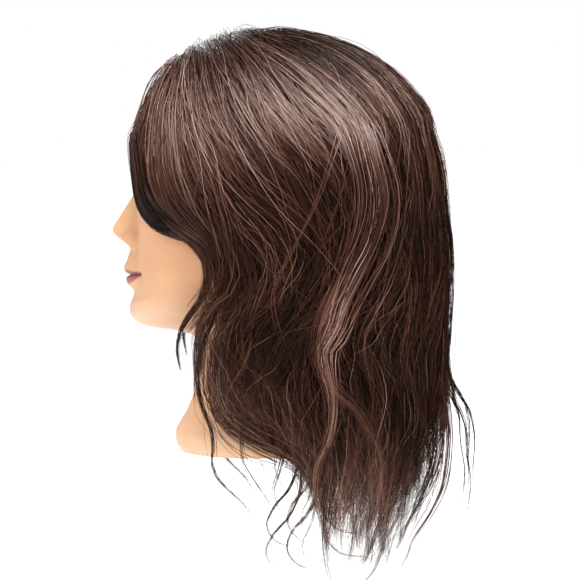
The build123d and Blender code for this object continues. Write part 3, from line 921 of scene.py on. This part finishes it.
def tube_mesh(name, strands, radius, shade, material):
    """Closed three-sided tubes with pointed ends; the UV map holds their shade across, root to tip along."""
    count, rings = len(strands), POINTS - 2
    along = unit(np.gradient(strands, axis=1))
    away = np.where(np.abs(along[..., :1]) < 0.8, np.array((1.0, 0, 0)), np.array((0, 1.0, 0)))
    first = unit(np.cross(along, away))
    second = np.cross(along, first)
    share = np.linspace(0, 1, POINTS)
    taper = (0.8 + 0.2 * smoothstep(0, 0.1, share)) * (1 - 0.75 * smoothstep(0.55, 1.0, share))
    width = (radius[:, None] * taper)[..., None]
    turns = [2 * math.pi * k / 3 for k in range(3)]
    edges = [strands + (first * math.cos(turn) + second * math.sin(turn)) * width for turn in turns]
    around_it = np.stack(edges, axis=2)[:, 1:-1].reshape(count, -1, 3)
    points = np.concatenate((around_it, strands[:, :1], strands[:, -1:]), axis=1)
    # One strand's faces, then those of every strand: its rings, its root and its tip.
    root, tip, last = 3 * rings, 3 * rings + 1, 3 * (rings - 1)
    ring = 3 * np.arange(rings - 1)[:, None]
    k = np.arange(3)
    after = (k + 1) % 3
    quads = np.stack((ring + k, ring + after, ring + 3 + after, ring + 3 + k), axis=-1).reshape(-1, 4)
    start = np.column_stack((np.full(3, root), after, k))
    end = np.column_stack((np.full(3, tip), last + k, last + after))
    shift = (np.arange(count) * points.shape[1])[:, None, None]
    quads = (quads + shift).reshape(-1, 4)
    tris = (np.concatenate((start, end)) + shift).reshape(-1, 3)
    ring_u = (shade[:, 1:-1, None] + np.array((-0.3, 0.0, 0.3)) / SHADES).reshape(count, -1)
    u = np.concatenate((ring_u, shade[:, :1], shade[:, -1:]), axis=1).ravel()
    height = 0.01 + 0.98 * share
    v = np.tile(np.concatenate((np.repeat(height[1:-1], 3), height[:1], height[-1:])), count)
    loops = np.concatenate((quads.ravel(), tris.ravel()))
    uv = np.stack((u[loops], v[loops]), axis=-1)
    piece = make_mesh(name, points.reshape(-1, 3), [quads, tris], uv=uv)
    piece.data.materials.append(material)
    return piece


def hair_material():
    """Hair fibre: a brown for each shade, darker at the root as painted shade near the scalp, and redder at
    the tip.
    """
    hair = Shader("hair_fibre", Roughness=0.34, IOR=1.5, Specular_IOR_Level=0.16)
    across, along = hair.uv()
    shade = hair.ramp(
        across,
        (0.0, (0.003, 0.0012, 0.0007)),
        (0.2, (0.013, 0.0048, 0.0024)),
        (0.4, (0.046, 0.0175, 0.0095)),
        (0.6, (0.125, 0.057, 0.042)),
        (0.8, (0.26, 0.165, 0.14)),
        (1.0, (0.5, 0.38, 0.34)),
    )
    # darker near the root as painted shade under the hair; redder towards the tip
    run = hair.ramp(along, (0.0, (0.45, 0.42, 0.4)), (0.12, 1.0), (1.0, (1.35, 1.1, 0.92)))
    hair.feed(Base_Color=hair.mix("MULTIPLY", 1.0, shade, run))
    return hair.material


HAIR = hair_material()
HAIR_ZONES = (
    # name, test on the root's (y, z), layers, how far above the lowest line the strands end, large locks
    ("fringe", lambda y, z: y < -42, (0.35, 1.0), (0, 70), 30),
    ("top", lambda y, z: (y >= -42) & (y < 50) & (z > 250), (0.5, 1.0), (0, 88), 30),
    ("side", lambda y, z: (y >= -42) & (y < 50) & (z <= 250), (0.05, 0.75), (0, 88), 34),
    ("crown", lambda y, z: (y >= 50) & (z > 215), (0.4, 1.0), (0, 88), 28),
    ("back", lambda y, z: (y >= 50) & (z <= 215) & (z > 150), (0.1, 0.75), (0, 88), 28),
    ("ends", lambda y, z: (y >= 38) & (z <= 150), (0.05, 0.45), (0, 80), 26),
)
for number, (zone_name, zone_test, layers, reach_range, locks) in enumerate(HAIR_ZONES):
    for word, side, rng in both_sides(10 * number):
        roots = scalp_roots(rng, STRANDS, side, zone_test)
        strands, shade, stray = grown_strands(roots, side, layers, reach_range, locks, rng)
        node = f"hair_{zone_name}_{word}"
        hair_piece(f"{node}_strands", strands, shade, stray, node, rng)

OVERLAY = 2.2  # how far the locks below lie over the rest
LOOSE_STRAY_SHARE = 0.08
# Locks that lie apart: strands, width, lightness, then the places of the route down the left side.
LOOSE_LOCKS = (
    # along the cheek and under the jaw
    (120, 3.2, 0.2, (12, -62, 262), (32, -80, 225), (44, -78, 192), (52, -73, 170), (57, -62, 158),
     (60, -47, 154), (61, -37, 146), (62, -31, 134), (62, -30, 122), (60, -34, 109), (57, -42, 98),
     (55, -48, 88), (54, -51, 76), (53, -48, 57)),
    # down the front of the neck
    (70, 4.5, 0.44, (24, -45, 272), (62, -34, 218), (76, -26, 180), (79, -18, 150), (76, -15, 130),
     (72, -18, 114), (66, -26, 101), (60, -34, 88), (57, -38, 76), (55, -39, 56), (54, -40, 36)),
    (24, 1.5, 0.3, (78, -8, 150), (76, -14, 125), (70, -24, 100), (62, -34, 76), (60, -37, 52),
     (62, -33, 34), (65, -28, 22), (66, -26.5, 10), (66, -27, -2), (65, -25, -9), (63, -17, -19),
     (61, -5, -31), (60, 1, -44)),
    # over the side of the neck's base
    (60, 6, 0.55, (80, 0, 140), (76, -12, 100), (68, -24, 66), (64, -24, 42), (64, -16, 26), (66, -2, 16),
     (66, 12, 9), (66, 26, 2), (64, 36, -8), (60, 43, -30), (58, 49, -56)),
    (40, 5, 0.6, (82, 10, 130), (78, -4, 90), (70, -16, 60), (66, -12, 38), (66, 2, 24), (68, 18, 15),
     (68, 32, 4), (64, 40, -14), (60, 44, -40)),
    (75, 7, 0.36, (80, -4, 150), (76, -10, 112), (68, -19, 84), (63, -21, 62), (62, -17, 44), (64, -7, 31),
     (66, 6, 21), (68, 21, 11), (66, 34, -6), (62, 44, -34)),
    (30, 10, 0.5, (80, 6, 120), (74, -6, 80), (66, -13, 52), (64, -9, 30), (66, 3, 17), (67, 16, 10),
     (66, 30, 2), (62, 42, -12)),
    # curls below the neck
    (24, 1.5, 0.4, (76, 50, 130), (74, 40, 80), (70, 34, 40), (66, 34, 7), (64, 32, -8), (62, 31, -20),
     (60, 25, -36), (58, 12, -52), (56, 8, -63), (56, 13, -72), (56, 28, -78)),
    (20, 1.4, 0.4, (76, 60, 120), (72, 50, 60), (68, 46, 10), (64, 42, -25), (62, 36, -37), (60, 26, -48),
     (58, 23, -62), (57, 31, -72), (57, 43, -76)),
    (12, 1.4, 0.35, (74, 56, 110), (70, 48, 40), (66, 42, -20), (63, 38, -44), (61, 33, -55), (60, 34, -65),
     (60, 40, -73)),
    (12, 1.6, 0.6, (74, 30, 80), (70, 24, 40), (68, 20, 5), (66, 17, -8), (64, 14, -19), (62, 20, -36),
     (61, 26, -44)),
    (8, 1.6, 0.6, (72, 10, 60), (68, -6, 26), (66, -6, 0), (64, 2, -14), (62, 10, -26), (60, 20, -40)),
    # flicked out behind
    (13, 1.6, 0.3, (30, 128, 190), (32, 135, 140), (34, 134, 85), (34, 133, 58), (33, 138, 45),
     (31, 147, 31), (30, 151, 12), (29, 150, -9), (28, 150, -26), (27, 148, -44)),
    (16, 1.8, 0.3, (40, 124, 190), (42, 131, 130), (42, 131, 70), (42, 136, 41), (40, 144, 20),
     (38, 145, 2), (36, 148, -20), (35, 146, -38), (34, 143, -54)),
    # light locks that hang over the side
    (52, 5.5, 0.64, (50, 60, 272), (82, 76, 215), (90, 84, 170), (91, 78, 145), (91, 69, 128),
     (91, 60, 108), (91, 54, 89), (90, 47, 76), (89, 49, 62), (88, 53, 40), (86, 50, 15), (83, 43, 0),
     (78, 42, -22), (72, 48, -44)),
    (38, 5, 0.6, (46, 44, 280), (80, 60, 225), (90, 72, 180), (92, 68, 150), (92, 60, 126), (92, 50, 105),
     (91, 44, 88), (90, 44, 70), (89, 56, 48), (88, 68, 38), (86, 76, 24), (83, 84, 10), (79, 86, -12),
     (74, 80, -40)),
    # over the top, from the parting to the side
    (90, 10, 0.42, (1, -56, 252), (3, -57, 260), (10, -57, 266), (22, -56, 266), (36, -54, 258),
     (50, -50, 242), (62, -42, 220), (71, -32, 195), (76, -20, 170), (78, -8, 140)),
    (110, 10, 0.42, (1, -42, 263), (3, -43, 271), (10, -43, 276), (22, -42, 277), (36, -40, 271),
     (50, -36, 257), (62, -28, 238), (72, -16, 212), (78, 0, 185), (80, 14, 160), (80, 22, 130)),
    (130, 10, 0.42, (1, -22, 275), (3, -22, 281), (10, -21, 284), (22, -20, 283), (36, -17, 275),
     (50, -11, 262), (63, -1, 242), (74, 12, 215), (82, 26, 188), (85, 38, 160), (86, 46, 130)),
    (60, 10, 0.38, (0, -12, 279), (3, -10, 286), (10, -6, 288), (22, 0, 286), (34, 8, 280), (48, 20, 266),
     (60, 34, 245), (72, 48, 215), (80, 56, 185), (84, 60, 150)),
    # scattered fine hairs that cross the others
    (7, 13, 0.55, (70, -30, 240), (86, -12, 205), (90, 12, 172), (91, 38, 142), (91, 56, 112),
     (90, 60, 80)),
    (7, 13, 0.5, (70, 66, 240), (88, 56, 205), (91, 44, 172), (91, 28, 140), (90, 16, 112), (88, 22, 84),
     (86, 34, 56)),
    (9, 14, 0.55, (60, 96, 240), (80, 92, 200), (88, 78, 160), (90, 60, 125), (90, 52, 90), (88, 66, 50),
     (84, 78, 10)),
    # curled across the bottom
    (9, 1.6, 0.6, (60, 48, 40), (58, 45, 0), (56, 47, -40), (55, 51, -57), (54, 60, -65), (53, 73, -67),
     (52, 86, -72)),
    # tips at the very bottom
    (22, 4, 0.42, (60, 66, 60), (58, 56, 0), (54, 50, -40), (50, 49, -66), (48, 52, -82), (47, 55, -92)),
    (18, 5, 0.42, (56, 100, 60), (56, 96, 0), (52, 90, -40), (48, 86, -66), (46, 80, -80), (44, 71, -90)),
    (20, 4, 0.42, (60, 128, 60), (60, 132, 10), (56, 128, -20), (52, 118, -42), (48, 109, -56),
     (46, 103, -72), (44, 98, -80)),
)


def smooth_route(route, at):
    """Points on a smooth line through a route, at shares of its length."""
    route = np.array(route, float)
    knots = np.concatenate(((0.0,), np.cumsum(np.linalg.norm(np.diff(route, axis=0), axis=1))))
    knots /= knots[-1]
    return between(knots, route, np.gradient(route, knots, axis=0), at)


def kept_down(strands, rng):
    """Holds strands to the usual depth of the hair on top of the head."""
    flat = strands.reshape(-1, 3)
    height, normal = over_head(flat)
    share = rng.uniform(0.25, 1.0, len(strands))
    allowed = blend_of(DEPTH, DEPTH_REACH, flat)[:, 0] * np.repeat(share, POINTS)
    over = np.maximum(height - allowed, 0.0) * smoothstep(215, 240, flat[:, 2])
    return (flat - normal * over[:, None]).reshape(strands.shape)


def loose_lock(count, width, lightness, route, side, rng):
    """Strands that follow one route, spread about it and drawn together towards its end."""
    share = np.linspace(0, 1, POINTS)
    start = rng.uniform(0.0, 0.1, (count, 1))
    end = 1 - 0.2 * rng.uniform(0, 1, (count, 1)) ** 2
    strands = smooth_route(route, start + (end - start) * share)
    strands[..., 0] = side * strands[..., 0] + parting(strands[..., 1]) * smoothstep(0.3, 0.0, share)
    # The strands spread in the lie of the hair, less so out of it; a narrow lock draws together at its end.
    across, normal = sideways(strands)
    narrow = width * (1 - 0.8 * smoothstep(12, 9, width) * smoothstep(0.4, 1.0, share))
    offset = np.clip(rng.normal(0, 1, (2, count, 1)), -1.8, 1.8) * narrow
    swing = 1 + 0.5 * np.sin(rng.uniform(0, 6.3, (count, 1)) + rng.uniform(3, 7, (count, 1)) * share)
    strands = strands + across * (offset[0] * swing)[..., None] + normal * (0.4 * offset[1])[..., None]
    strands[..., 0] = held_in(strands.reshape(-1, 3))[:, 0].reshape(count, POINTS)
    strands[..., 0] += side * OVERLAY * smoothstep(0.05, 0.3, share)
    shade = lightness - 0.1 + rng.normal(0, 0.17, (count, 1)) + np.zeros(POINTS)
    stray = rng.uniform(0, 1, count) < LOOSE_STRAY_SHARE
    strands = kept_down(unruly(strands, stray, rng), rng)
    clear = ~over_face(strands, lowest=96.0)
    return strands[clear], shade[clear], stray[clear]


for word, side, rng in both_sides(100):
    made = [
        loose_lock(count, width, lightness, route, side, rng)
        for count, width, lightness, *route in LOOSE_LOCKS
    ]
    strands, shade, stray = (np.concatenate(parts) for parts in zip(*made))
    hair_piece(f"hair_loose_{word}_strands", strands, shade, stray, f"hair_side_{word}", rng)


# -------------------- eyelashes
LASHES = 64  # on each eye
LASH_REACH = (5.0, 8.5)
LASH_RADIUS = (0.13, 0.18)


def lid_line(across):
    """Points on the upper lid's edge: across the eye from -1 to 1."""
    x = EYE[0] + 13.2 * across
    z = EYE[1] + 4.6 * (1 - across**2)
    front, _, half, middle = np.moveaxis(BODY(z), -1, 0)
    power = section_power(z)
    y = middle - (middle - front) * (1 - (x / half) ** power) ** (1 / power) - face_relief(x, z)
    return np.stack((x, y, z), axis=-1)


def lash_material():
    """Dark lash fibre, a little paler towards its tip."""
    lash = Shader("lash_fibre", Roughness=0.4, Specular_IOR_Level=0.3)
    across, along = lash.uv()
    run = lash.ramp(along, (0.0, (0.004, 0.003, 0.003)), (1.0, (0.022, 0.012, 0.009)))
    tone = lash.ramp(across, (0.0, 0.6), (1.0, (1.4, 1.3, 1.2)))
    lash.feed(Base_Color=lash.mix("MULTIPLY", 1.0, run, tone))
    return lash.material


LASH = lash_material()
for word, side, rng in both_sides(200):
    across = np.sort(rng.uniform(-1, 1, LASHES))
    roots = lid_line(across)
    splay = 0.45 * across + rng.normal(0, 0.07, LASHES)
    fan = np.column_stack((splay, np.full(LASHES, -1.0), np.zeros(LASHES)))
    length = rng.uniform(*LASH_REACH, LASHES) * (1 - 0.35 * np.abs(across) ** 3)
    share = np.linspace(0, 1, POINTS)[None, :, None]
    lashes = roots[:, None] + unit(fan)[:, None] * length[:, None, None] * share * (1 - 0.12 * share)
    lashes[..., 2] += length[:, None] * (0.75 * share**2 - 0.32 * share)[..., 0]
    lashes[..., 0] *= side
    shade = np.repeat(rng.uniform(0.1, 0.9, (LASHES, 1)), POINTS, axis=1)
    piece = tube_mesh(f"eyelashes_{word}_strands", lashes, rng.uniform(*LASH_RADIUS, LASHES), shade, LASH)
    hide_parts(f"eyelashes_{word}")


# -------------------- base hardware and core
def dress(material, *nodes):
    """Gives the carried-over pieces their finish."""
    for node in nodes:
        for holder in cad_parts[node].material_slots:
            holder.material = material


def moulded_plastic(name, dark, light, grain):
    """Dark moulded plastic: fine grain, with paler scuffs and dust."""
    plastic = Shader(name, IOR=1.49)
    scuff = plastic.ramp(plastic.noise(26.0, 6.0, 0.7), (0.5, 0.0), (0.78, 1.0))
    plastic.feed(
        Base_Color=plastic.mix("MIX", scuff, dark, light),
        Roughness=plastic.ramp(plastic.noise(60.0, 5.0), (0.3, 0.34), (0.75, 0.6)),
    )
    plastic.bump(plastic.noise(grain, 2.0, 0.6), 0.35, 0.0003)
    return plastic.material


def cast_foam():
    """Cream polyurethane foam: fine cells, darker in their pits as painted shade, yellower in patches."""
    foam = Shader("core_foam", Roughness=0.92, Subsurface_Weight=0.08, Subsurface_Scale=0.003)
    cells = foam.node("TexVoronoi", Scale=520.0)
    foam.link(foam.place(), cells.inputs["Vector"])
    # the cells' pits painted darker as painted shade
    pit = foam.ramp(cells.outputs["Distance"], (0.0, (0.62, 0.5, 0.32)), (0.45, (0.84, 0.74, 0.54)))
    patch = foam.ramp(foam.noise(22.0, 4.0), (0.35, (0.9, 0.84, 0.72)), (0.7, (1.05, 1.03, 1.0)))
    foam.feed(Base_Color=foam.mix("MULTIPLY", 1.0, pit, patch))
    foam.bump(cells.outputs["Distance"], 0.6, 0.0008)
    return foam.material


def brushed_latex():
    """Latex brushed on in coats: amber where it lies thick."""
    latex = Shader("seal_latex", Roughness=0.55, Subsurface_Weight=0.2, Subsurface_Scale=0.002)
    streak = latex.noise(140.0, 5.0, 0.65, latex.place((1.0, 1.0, 0.18)))
    latex.feed(Base_Color=latex.ramp(streak, (0.3, (0.55, 0.38, 0.2)), (0.7, (0.8, 0.68, 0.48))))
    latex.bump(streak, 0.4, 0.0006)
    return latex.material


def plywood():
    """Thin plies with their edges showing, each with its own grain."""
    wood = Shader("ring_wood", Roughness=0.68, Specular_IOR_Level=0.3)
    plies = wood.node("TexWave", wave_type="BANDS", bands_direction="Z", Scale=105.0, Distortion=0.4)
    wood.link(wood.place(), plies.inputs["Vector"])
    ply = wood.ramp(plies.outputs["Fac"], (0.35, (0.3, 0.17, 0.08)), (0.6, (0.62, 0.42, 0.23)))
    grain = wood.noise(260.0, 6.0, 0.7, wood.place((1.0, 0.08, 1.0)))
    tone = wood.ramp(grain, (0.3, (0.72, 0.66, 0.6)), (0.7, (1.1, 1.08, 1.05)))
    wood.feed(Base_Color=wood.mix("MULTIPLY", 1.0, ply, tone))
    wood.bump(grain, 0.3, 0.0003)
    return wood.material


def plated_steel():
    """Zinc-plated steel: milky crystals, fine turning marks and worn spots."""
    steel = Shader("screw_steel", Metallic=1.0)
    steel.feed(
        Base_Color=steel.ramp(steel.noise(420.0, 4.0), (0.35, (0.46, 0.46, 0.45)), (0.7, (0.7, 0.7, 0.68))),
        Roughness=steel.ramp(steel.noise(180.0, 4.0), (0.3, 0.26), (0.7, 0.5)),
    )
    steel.bump(steel.noise(1500.0, 2.0), 0.2, 0.0001)
    return steel.material


dress(brushed_latex(), "root_seal")
dress(cast_foam(), "foam_core")
socket_plastic = moulded_plastic("socket_plastic", (0.018, 0.018, 0.019), (0.07, 0.07, 0.07), 900.0)
dress(socket_plastic, "clamp_socket", "socket_cap")
base_plastic = moulded_plastic("base_plastic", (0.03, 0.03, 0.031), (0.1, 0.098, 0.094), 600.0)
dress(base_plastic, "base_plate")
dress(plywood(), "backing_ring")
dress(plated_steel(), "base_screws")
